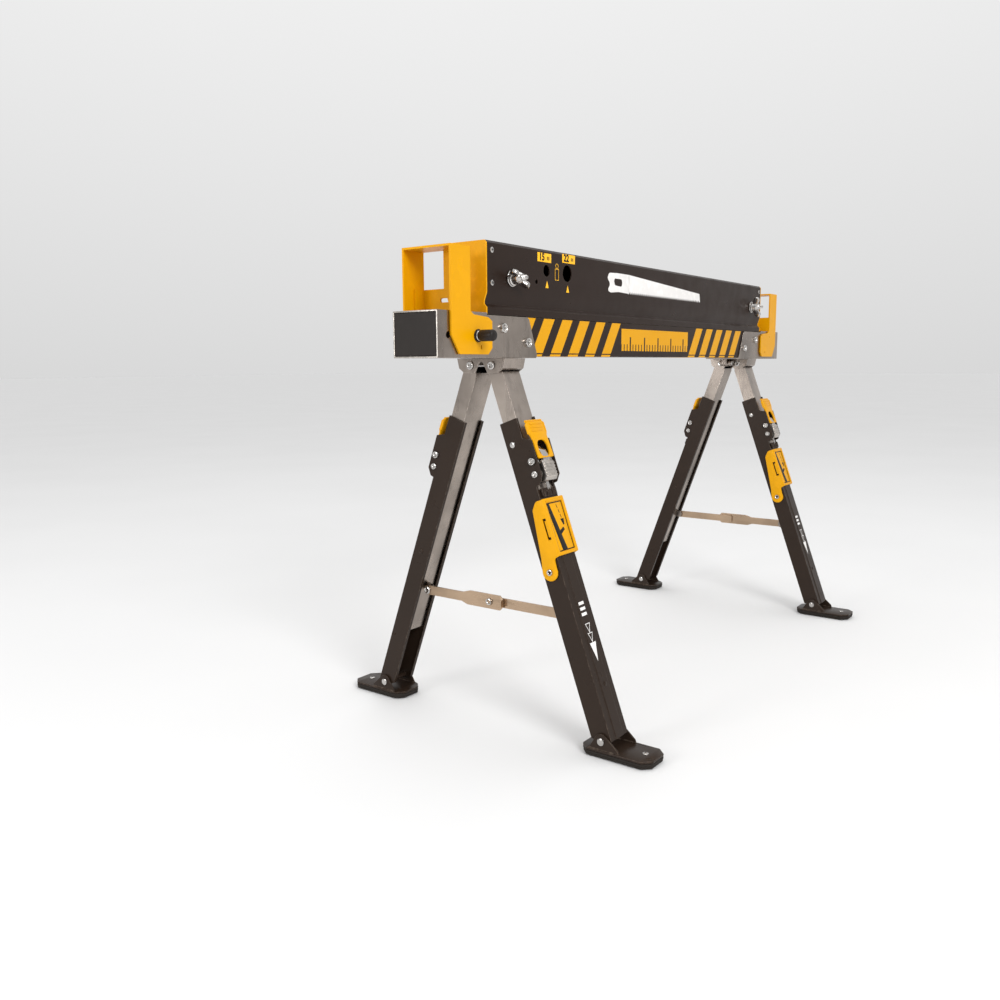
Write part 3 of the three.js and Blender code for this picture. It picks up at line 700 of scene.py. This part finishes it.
def middle_rivet():
    """The rivet that joins the two links, on the bracket's outer face."""
    low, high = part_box("left_back_spreader_link")
    height = (low.z + high.z) / 2 / MM
    return Piece((dimpled(4.9, 3, OUT_LEFT, (MIDDLE_FACE, 0, height)), BRIGHT)).mesh("middle_rivet")


def sleeve_rim_highlight():
    """The sleeve's cut edge round the end plug, in a paler zinc as a painted edge highlight."""
    low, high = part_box("left_sleeve")
    x, half = low.x / MM, high.y / MM
    base, top = low.z / MM, high.z / MM
    outer = rounded(rectangle(-half + 0.1, half - 0.1, base + 0.1, top - 0.1), 2)
    inner = rounded(rectangle(-half + 1.7, half - 1.7, base + 1.7, top - 1.7), 1.2)
    # painted highlight: the rim is a paler zinc than the sleeve
    piece = Piece((plate(outer, x - 0.5, x + 0.3, ACROSS_X, 0.25, [inner]), CAST_ZINC))
    return piece.mesh("sleeve_rim_highlight")


rim_mesh, middle_mesh = sleeve_rim_highlight(), middle_rivet()
bracket_end, plain_end = link_rivet(OUT_RIGHT, BRACKET_FACE), link_rivet(OUT_LEFT, PLAIN_FACE)
for end, leg in zip(ENDS, BRACKET_LEGS):
    place(rim_mesh, f"{end}_sleeve_rim_highlight", end_frame(end), "beam", "zinc_steel")
    place(middle_mesh, f"{end}_middle_rivet", end_frame(end), f"{leg}_link", "bright_steel")
for leg in LEGS:
    head = bracket_end if leg in BRACKET_LEGS else plain_end
    place(head, f"{leg}_link_rivet", leg_frame(leg), f"{leg}_inner_leg", "bright_steel")


# ---- latch, in the leg's own millimetres ---------------------------------------------------
LATCH_Y, LATCH_Z = -17.5, -132.5  # the latch's pin
BRIDGE_Y, BRIDGE_Z = -14.6, -149  # the channel's second pin
CHANNEL_X = 20.4  # the channel's half width
LEVER_LEAN = math.radians(-3.2)


def latch_lever():
    """The yellow press plate, with ribs, a curled top, cheeks and an oval window."""
    half = [(-19, -83, 3), (-19, -99, 2), (-17, -103, 2), (-17, -131.5, 2.5)]
    window = rounded(mirrored([(-10.5, -129.5), (-10.5, -108)]), 8, 6)
    sheet = plate(rounded(mirrored(half), 2), -1.3, 1.3, ACROSS_Y, 0.7, [window])
    lean = Matrix.Rotation(LEVER_LEAN, 4, "X")
    tilt = Matrix.Translation((0, -23.9, -106)) @ lean @ Matrix.Translation((0, 0, 106))
    sheet.transform(tilt)
    piece = Piece((sheet, YELLOW))
    for z in (-86.5, -91, -95.5):
        rib = plate(rounded(rectangle(-13, 13, z - 0.9, z + 0.9), 0.8), 0.9, 2.0, ACROSS_Y, 0.5)
        rib.transform(tilt)
        piece.add(rib, YELLOW)
    piece.add(wire([(-17, -21.6, -82), (17, -21.6, -82)], 1.7), YELLOW)
    cheek = [(-24.6, -84, 1), (-25, -99, 1), (-21, -99, 1), (-20.7, -86, 1)]
    for side in (-1, 1):
        stations = sorted((side * 17.2, side * 19.2))
        piece.add(plate(rounded(cheek, 1), *stations, ACROSS_X, 0.5), YELLOW)
    return piece.mesh("latch_lever")


def latch_pawl():
    """The steel pawl: a ridged thumb block, a bright tongue, its pin and two springs."""
    top = [(-15, -136, 1), (-25, -133.5, 1.5), (-27, -137, 1.5)]
    bottom = [(-27, -156, 2), (-24.5, -160, 2), (-16.5, -160, 1)]
    piece = Piece((plate(rounded(top + bottom, 1), -12, 12, ACROSS_X, 0.8), CAST_ZINC))
    for i in range(5):
        z = -139.2 - 3.9 * i
        rib = rounded(rectangle(-28.3, -26, z - 1.1, z + 1.1), 0.8)
        piece.add(plate(rib, -11, 11, ACROSS_X, 0.4), CAST_ZINC)
    outer = [(-24.6, -137), (-26.4, -131), (-24, -121), (-19, -114)]
    inner = [(-17.5, -115.5), (-21.6, -122), (-23.6, -130.5), (-21, -138)]
    piece.add(plate(rounded(outer + inner, 1), -7, 7, ACROSS_X, 0.5), BRIGHT)
    shaft = [(0, -21.6), (3, -21.6), (3, 21.6), (0, 21.6)]
    piece.add(lathe(shaft, ACROSS_X, (0, LATCH_Y, LATCH_Z)), BRIGHT)
    for plane, x in ((OUT_LEFT, -CHANNEL_X - 0.4), (OUT_RIGHT, CHANNEL_X + 0.4)):
        piece.add(dimpled(5, 2.9, plane, (x, LATCH_Y, LATCH_Z)), BRIGHT)
    for side in (-1, 1):
        piece.add(coil(side * 12.4, side * 17.6, 4.1, 4, 0.6, LATCH_Y, LATCH_Z), BRIGHT)
    return piece.mesh("latch_pawl")


def latch_fixings():
    """What the channel carries round the latch: a second pin, a guide rivet and a bridge."""
    piece = Piece()
    shaft = [(0, -CHANNEL_X), (2.6, -CHANNEL_X), (2.6, CHANNEL_X), (0, CHANNEL_X)]
    piece.add(lathe(shaft, ACROSS_X, (0, BRIDGE_Y, BRIDGE_Z), 20), BRIGHT)
    for plane, x in ((OUT_LEFT, -CHANNEL_X), (OUT_RIGHT, CHANNEL_X)):
        piece.add(dimpled(4.5, 2.2, plane, (x, -16, BRIDGE_Z)), BRIGHT)
    piece.add(dome(3.9, 1.5, OUT_LEFT, (-CHANNEL_X, 4.2, -104.5)), BRIGHT)
    for side in (-1, 1):
        piece.add(coil(side * 13, side * 17.8, 3.6, 4, 0.6, BRIDGE_Y, BRIDGE_Z), BRIGHT)
    bridge = rounded(rectangle(-15.6, 15.6, -178.5, -167.5), 1.2)
    piece.add(plate(bridge, 13.6, 16.4, ACROSS_Y, 0.6), LEG_PAINT)
    for i in range(-2, 3):
        rib = rounded(rectangle(i * 5.6 - 0.9, i * 5.6 + 0.9, -178, -168), 0.6)
        piece.add(plate(rib, 16, 17.2, ACROSS_Y, 0.5), LEG_PAINT)
    tongue = rounded(rectangle(-3.2, 3.2, -170, -158), 1)
    piece.add(plate(tongue, 15.4, 16.8, ACROSS_Y, 0.3), BRIGHT)
    return piece.mesh("latch_fixings")


# ---- support arm --------------------------------------------------------------------------
ARM_PIVOT = (2.1, -271.0)
ARM_SHEET = 2.4
ARM_LEFT, ARM_RIGHT = -23.4, 21.0  # the lower X of each cheek


def arm_cheek():
    """A cheek's outline, round a pivot lobe."""
    y, z = ARM_PIVOT
    sweep = [math.pi * (0.92 + 0.116 * i) for i in range(11)]
    lobe = [(y + 11.3 * math.cos(a), z + 11.3 * math.sin(a)) for a in sweep]
    outer_side = [(-17.4, -181.5, 1), (-17.4, -254.5, 1.5), (-9.8, -256, 4)]
    inner_side = [(9.3, -252, 8), (1.5, -191, 6), (-6.5, -181.5, 6)]
    return rounded([*outer_side, *lobe, *inner_side], 0)


def arm_clip():
    """The hooked slot cut in each cheek."""
    outer = [(-14, -205), (-9, -205), (-9, -232), (-14, -232)]
    return outer + [(-14, -229), (-11.4, -229), (-11.4, -208), (-14, -208)]


def arm_picture():
    """The printed outlines of a leg, its arm and a dashed arrow."""
    leg_left = [(-8.5, -248.5), (-11.5, -228), (-14.8, -206)]
    leg = [(-15.6, -188.5), (-10.5, -188.5), (-5, -213), (-1.5, -230), (2.5, -248.5), *leg_left]
    arm = [(-4, -224.5), (6, -220.5), (8, -224), (-3, -229.5)]
    starts = ((3.6, -191), (5, -197.6), (6.4, -204.2))
    dashes = [[(x, z), (x + 1.1, z), (x + 2.1, z - 4.6), (x + 1, z - 4.6)] for x, z in starts]
    tip = [(4.6, -210), (12, -210), (10.2, -218), (8, -218)]
    return [leg, arm, *dashes, tip]


def support_arm():
    """The fold-out rest: a pressed channel with round pivot lobes and a framed, printed face."""
    piece = Piece()
    for low in (ARM_LEFT, ARM_RIGHT):
        holes = [arm_clip(), ring(*ARM_PIVOT, 3.6)]
        piece.add(plate(arm_cheek(), low, low + ARM_SHEET, ACROSS_X, 0.7, holes), YELLOW)
    face = rounded(rectangle(-22.9, 22.9, -254.5, -181), 2)
    sunk = rounded(rectangle(-17.5, 17.5, -250, -187), 1.5)
    piece.add(plate(face, 15.4, 17.9, ACROSS_Y, 0.8, [sunk]), YELLOW)
    piece.add(plate(sunk, 15.2, 16.5, ACROSS_Y, 0.1), YELLOW)
    for v0, v1 in ((-253.8, -251.6), (-186, -184)):
        bar = rounded(rectangle(-18, 18, v0, v1), 0.9)
        piece.add(plate(bar, 17.5, 18.7, ACROSS_Y, 0.5), YELLOW)

    def ink(outline, holes=()):
        piece.add(plate(outline, 16.45, 16.65, ACROSS_Y, 0.02, holes), BLACK_INK_AND_SHADE)

    for mark in arm_picture():
        ink(mark)
    ink(rectangle(-17.2, 17.2, -249.7, -187.3), [rectangle(-15.9, 15.9, -248.4, -188.6)])
    for plane, x in ((OUT_LEFT, -23.3), (OUT_RIGHT, 23.3)):
        piece.add(dimpled(4.2, 2.2, plane, (x, *ARM_PIVOT)), BRIGHT)
    return piece.mesh("support_arm")


# ---- leg markings and rivets --------------------------------------------------------------
LEG_FACE = 14.02  # how far out the leg's outer face is
INK = 0.14
ARM_HOLE = (-0.5, -271)
FOOT_HINGE = (0, -487)


def leg_marks():
    """Printed slots, an open arrow and a solid arrow on the outer face of a leg."""
    piece = Piece()

    def ink(outline, holes=()):
        piece.add(plate(outline, LEG_FACE, LEG_FACE + INK, ACROSS_Y, 0.02, holes), WHITE_INK)

    for z in (-318.5, -325.5, -332.5):
        ink(rectangle(-6, 5.5, z - 1.9, z + 1.9))
    for top in (-344.5, -356.5):
        outer = [(-5.2, top), (5.6, top), (0.2, top - 12.5)]
        inner = [(-4, top - 0.9), (4.4, top - 0.9), (0.2, top - 10.4)]
        ink(outer, [inner])
    ink([(-6.6, -369), (6.6, -369), (0, -393)])
    piece.add(dome(3, 1.2, OUT_FRONT, (1, -LEG_FACE + 0.2, -422)), LEG_PAINT)
    return piece.mesh("leg_marks")


def spare_hole():
    """The blind painted rivet where a leg without a support arm has its pivot hole."""
    piece = Piece()
    for plane, x in ((OUT_LEFT, -CHANNEL_X), (OUT_RIGHT, CHANNEL_X)):
        piece.add(dimpled(3.6, 0.9, plane, (x, *ARM_HOLE)), LEG_PAINT)
    return piece.mesh("spare_hole")


def foot_rivet():
    """Rivet heads on the foot's hinge pin."""
    piece = Piece()
    for plane, x in ((OUT_LEFT, -23.5), (OUT_RIGHT, 23.5)):
        piece.add(dome(4.8, 2.4, plane, (x, *FOOT_HINGE), 1.2), BRIGHT)
    return piece.mesh("foot_rivet")


# ---- feet, in the foot's own millimetres ---------------------------------------------------
PLATE_TOP, PLATE_LOW = -11.1, -14.1
FOOT_WIDE, FOOT_TOE, FOOT_HEEL = 25, -66.8, 31.8
FOOT_CUT_X, FOOT_CUT_Y = 14, 11  # where the cut corners start


def foot_outline(inset=0):
    """The foot's long octagon, drawn in on every side."""
    wide, low, high = FOOT_WIDE - inset, FOOT_TOE, FOOT_HEEL
    toe, heel = low + inset, high - inset
    corners = [
        (-wide, low + FOOT_CUT_Y),
        (-FOOT_CUT_X, toe),
        (FOOT_CUT_X, toe),
        (wide, low + FOOT_CUT_Y),
        (wide, high - FOOT_CUT_Y),
        (FOOT_CUT_X, heel),
        (-FOOT_CUT_X, heel),
        (-wide, high - FOOT_CUT_Y),
    ]
    return rounded(corners, 4)


def foot_shoe():
    """The foot's plate and its two sloping ears."""
    piece = Piece((plate(foot_outline(), PLATE_LOW, PLATE_TOP, ACROSS_Z, 1.2), LEG_PAINT))
    sweep = [math.pi * (0.1 + 0.075 * i) for i in range(9)]
    arc = [(9.8 * math.cos(a), 9.8 * math.sin(a)) for a in sweep]
    toe_side = [(19, PLATE_TOP - 0.6), (16.5, PLATE_TOP + 2.4)]
    heel_side = [(-23, PLATE_TOP + 4), (-24.5, PLATE_TOP - 0.6)]
    for x in (-23.4, 21.0):
        piece.add(plate([*toe_side, *arc, *heel_side], x, x + 2.4, ACROSS_X, 0.6), LEG_PAINT)
        fillet = rounded(rectangle(x - 0.5, x + 2.9, -24, 18), 1)
        piece.add(plate(fillet, PLATE_TOP - 0.3, PLATE_TOP + 1, ACROSS_Z, 0.6), LEG_PAINT)
    for part, material in cross_screw(ACROSS_Z, (0, -49, PLATE_TOP), 3.8):
        piece.add(part, material)
    return piece.mesh("foot_shoe")


def foot_sole():
    """A two-step rubber sole with tread bars."""
    piece = Piece((plate(foot_outline(0.2), -17.6, -14.4, ACROSS_Z, 0.9), RUBBER))
    piece.add(plate(foot_outline(0.9), -20.8, -17.4, ACROSS_Z, 0.9), RUBBER)
    for i in range(9):
        y = FOOT_TOE + 10 + 9.8 * i
        bar = rounded(rectangle(-18, 18, y - 2.6, y + 2.6), 1.2)
        piece.add(plate(bar, -22.1, -20.5, ACROSS_Z, 0.4), RUBBER)
    return piece.mesh("foot_sole")


lever_mesh, pawl_mesh, fixings_mesh = latch_lever(), latch_pawl(), latch_fixings()
arm_mesh, marks_mesh, foot_rivet_mesh = support_arm(), leg_marks(), foot_rivet()
shoe_mesh, sole_mesh, spare_mesh = foot_shoe(), foot_sole(), spare_hole()
for leg in LEGS:
    on_leg, on_foot = leg_frame(leg), foot_frame(leg)
    outer, latch, foot = f"{leg}_outer_leg", f"{leg}_latch", f"{leg}_foot"
    place(lever_mesh, f"{leg}_press_plate", on_leg, latch, "yellow_paint", f"{leg}_latch_lever")
    place(pawl_mesh, f"{leg}_ridged_pawl", on_leg, latch, "zinc_steel", f"{leg}_latch_pawl")
    place(fixings_mesh, f"{leg}_latch_fixings", on_leg, outer, "bright_steel")
    place(foot_rivet_mesh, f"{leg}_foot_rivet", on_leg, outer, "bright_steel")
    place(shoe_mesh, f"{leg}_foot_shoe", on_foot, foot, "leg_paint", f"{leg}_foot_plate")
    place(sole_mesh, f"{leg}_ribbed_sole", on_foot, foot, "rubber", f"{leg}_foot_sole")
    if "front" in leg:
        place(arm_mesh, f"{leg}_rest_arm", on_leg, f"{leg}_arm", "yellow_paint", f"{leg}_support_arm")
        place(marks_mesh, f"{leg}_leg_marks", on_leg, outer, "leg_paint")
    else:
        place(spare_mesh, f"{leg}_spare_rivets", on_leg, outer, "leg_paint")


# ---- prints on the beam -------------------------------------------------------------------
# Places are X and height above the tube's top.
FILM = 0.12
NUMBER_PLATES = ((-336, 72.5, "15"), (-277, 75.5, "22"))
POINTERS = ((-313.6, 49), (-263, 46))
SAW_TEETH, TOOTH_ROW = 38, 252
SAW_LOW, SAW_HIGH = TUBE_TOP + 43.5, TUBE_TOP + 72.5


def gauge_marks():
    """Numbered plates, pointers and a pipe outline round the two pipe holes."""
    face = -BEAM_FRONT
    piece = Piece()

    def ink(outline, material, lift=0.0, holes=()):
        points = [(u, v + TUBE_TOP) for u, v in outline]
        inner = [[(u, v + TUBE_TOP) for u, v in hole] for hole in holes]
        piece.add(plate(points, face + lift, face + lift + FILM, ACROSS_Y, 0.02, inner), material)

    for x, z, text in NUMBER_PLATES:
        ink(rectangle(x, x + 32, z, z + 11.5), YELLOW_INK)
        for bar in (22, 25.5):
            ink(rectangle(x + bar, x + bar + 1.8, z + 3, z + 7.5), BLACK_INK_AND_SHADE, 0.1)
        label = axes(X, Z, -Y, (x + 3.5, -face - 0.2, TUBE_TOP + z + 2))
        piece.add(digits(text, 13, label), BLACK_INK_AND_SHADE)
    for x, z in POINTERS:
        ink([(x - 3.6, z - 9.5), (x + 3.6, z - 9.5), (x, z)], YELLOW_INK)
    pipe = rectangle(-294.5, -285.5, 51, 66)
    ink(pipe, YELLOW_INK, 0, [rectangle(-293.9, -286.1, 51.6, 65.4)])
    ink(ring(-290, 69.5, 3.4, 16), YELLOW_INK, 0, [ring(-290, 69.5, 2.8, 16)])
    return piece.mesh("gauge_marks")


def saw_print():
    """A plain white handsaw silhouette along the beam's side."""
    face, low, high = -BEAM_FRONT, SAW_LOW, SAW_HIGH
    teeth = []
    for i in range(SAW_TEETH):
        x = -92 + TOOTH_ROW * i / SAW_TEETH
        teeth += [(x, low), (x + TOOTH_ROW / SAW_TEETH * 0.75, low + 4)]
    blade = [*teeth, (160, low), (163, low + 2), (160, low + 15), (-92, high)]
    back = [(-90, low + 1), (-90, high, 2), (-128, high, 6), (-151, high - 1, 6), (-156, high - 9, 4)]
    palm = [(-146, low + 12, 5), (-156, low + 3, 3), (-146, low, 3), (-122, low + 2, 6)]
    hand = rounded([(-112, low + 10), (-112, high - 8), (-138, high - 8), (-134, low + 11)], 4)
    piece = Piece()
    for outline, holes in ((rounded(back + palm, 2), [hand]), (blade, ())):
        piece.add(plate(outline, face, face + FILM, ACROSS_Y, 0.02, holes), WHITE_INK)
    return piece.mesh("saw_print")


place(gauge_marks(), "gauge_marks", Matrix(), "beam", "hazard_paint")
saw_mesh = saw_print()
for name, end in (("front", "left"), ("back", "right")):
    place(saw_mesh, f"{name}_saw_print", end_frame(end), "beam", "dark_paint")


# ---- stage --------------------------------------------------------------------------------
FLOOR_HALF = 40
FLOOR_GREYS = (0.74, 0.74, 0.74, 1), (0.78, 0.78, 0.78, 1)
ROOM_TOP = (0.2, 0.15, 0.9)  # towards the room's brightest side
ROOM_LOW, ROOM_HIGH = 0.42, 1.05
LIGHTS = (
    # name, place, what it faces, diameter in metres, watts
    ("key", (-1.6, -2.6, 2.0), (0, 0, 0.35), 1.4, 62),
    ("side", (-3.0, 0.8, 0.9), (-0.4, 0, 0.35), 0.9, 20),
    ("top", (0.6, 0.4, 3.4), (0, 0, 0.4), 2.0, 16),
)
CAMERA_AT = (-1.3365, -0.719, 0.4809)
CAMERA_TURN = 36.87, -8.505, -0.367  # yaw from +X, pitch and roll, in degrees
FOCAL_LENGTH, SENSOR = 32.65, 36  # mm


def floor():
    """A plain pale floor with a barely seen mottle."""
    g = Graph("stage_floor")
    g.feed(g.shader.inputs["Base Color"], g.mix(g.noise(2, 2), *FLOOR_GREYS))
    g.feed(g.shader.inputs["Roughness"], 0.8)
    mesh = bpy.data.meshes.new("floor")
    corners = rectangle(-FLOOR_HALF, FLOOR_HALF, -FLOOR_HALF, FLOOR_HALF)
    mesh.from_pydata([(*corner, 0) for corner in corners], [], [(0, 1, 2, 3)])
    mesh.materials.append(g.material)
    ground = bpy.data.objects.new("floor", mesh)
    bpy.context.scene.collection.objects.link(ground)


def area_light(name, at, aim, size, power):
    """A round soft light that faces a point."""
    data = bpy.data.lights.new(name, "AREA")
    data.shape = "DISK"
    data.size = size
    data.energy = power
    lamp = bpy.data.objects.new(name, data)
    bpy.context.scene.collection.objects.link(lamp)
    lamp.location = at
    lamp.rotation_euler = (Vector(aim) - Vector(at)).to_track_quat("-Z", "Y").to_euler()


def world():
    """A white room that darkens from overhead down to the floor's level."""
    made = bpy.data.worlds.new("studio")
    made.use_nodes = True
    nodes, links = made.node_tree.nodes, made.node_tree.links
    background = nodes["Background"]
    background.inputs["Color"].default_value = (1, 1, 1, 1)
    direction = nodes.new("ShaderNodeTexCoord")
    along = nodes.new("ShaderNodeVectorMath")
    along.operation = "DOT_PRODUCT"
    along.inputs[1].default_value = ROOM_TOP
    spread = nodes.new("ShaderNodeMapRange")
    for index, value in enumerate((-0.3, 0.9, ROOM_LOW, ROOM_HIGH), 1):
        spread.inputs[index].default_value = value
    links.new(direction.outputs["Generated"], along.inputs[0])
    links.new(along.outputs["Value"], spread.inputs["Value"])
    links.new(spread.outputs["Result"], background.inputs["Strength"])
    bpy.context.scene.world = made


def camera():
    """The camera, with no shift and no depth of field."""
    yaw, pitch, roll = (math.radians(turn) for turn in CAMERA_TURN)
    ahead = Vector((math.cos(yaw) * math.cos(pitch), math.sin(yaw) * math.cos(pitch), math.sin(pitch)))
    level = Vector((math.sin(yaw), -math.cos(yaw), 0))
    lift = level.cross(ahead)
    right = level * math.cos(roll) + lift * math.sin(roll)
    up = lift * math.cos(roll) - level * math.sin(roll)
    data = bpy.data.cameras.new("camera")
    data.sensor_width = SENSOR
    data.lens = FOCAL_LENGTH
    made = bpy.data.objects.new("camera", data)
    bpy.context.scene.collection.objects.link(made)
    made.matrix_world = axes(right, up, -ahead, CAMERA_AT)
    bpy.context.scene.camera = made


floor()
world()
for light in LIGHTS:
    area_light(*light)
camera()
bpy.context.scene.view_settings.view_transform = "Standard"
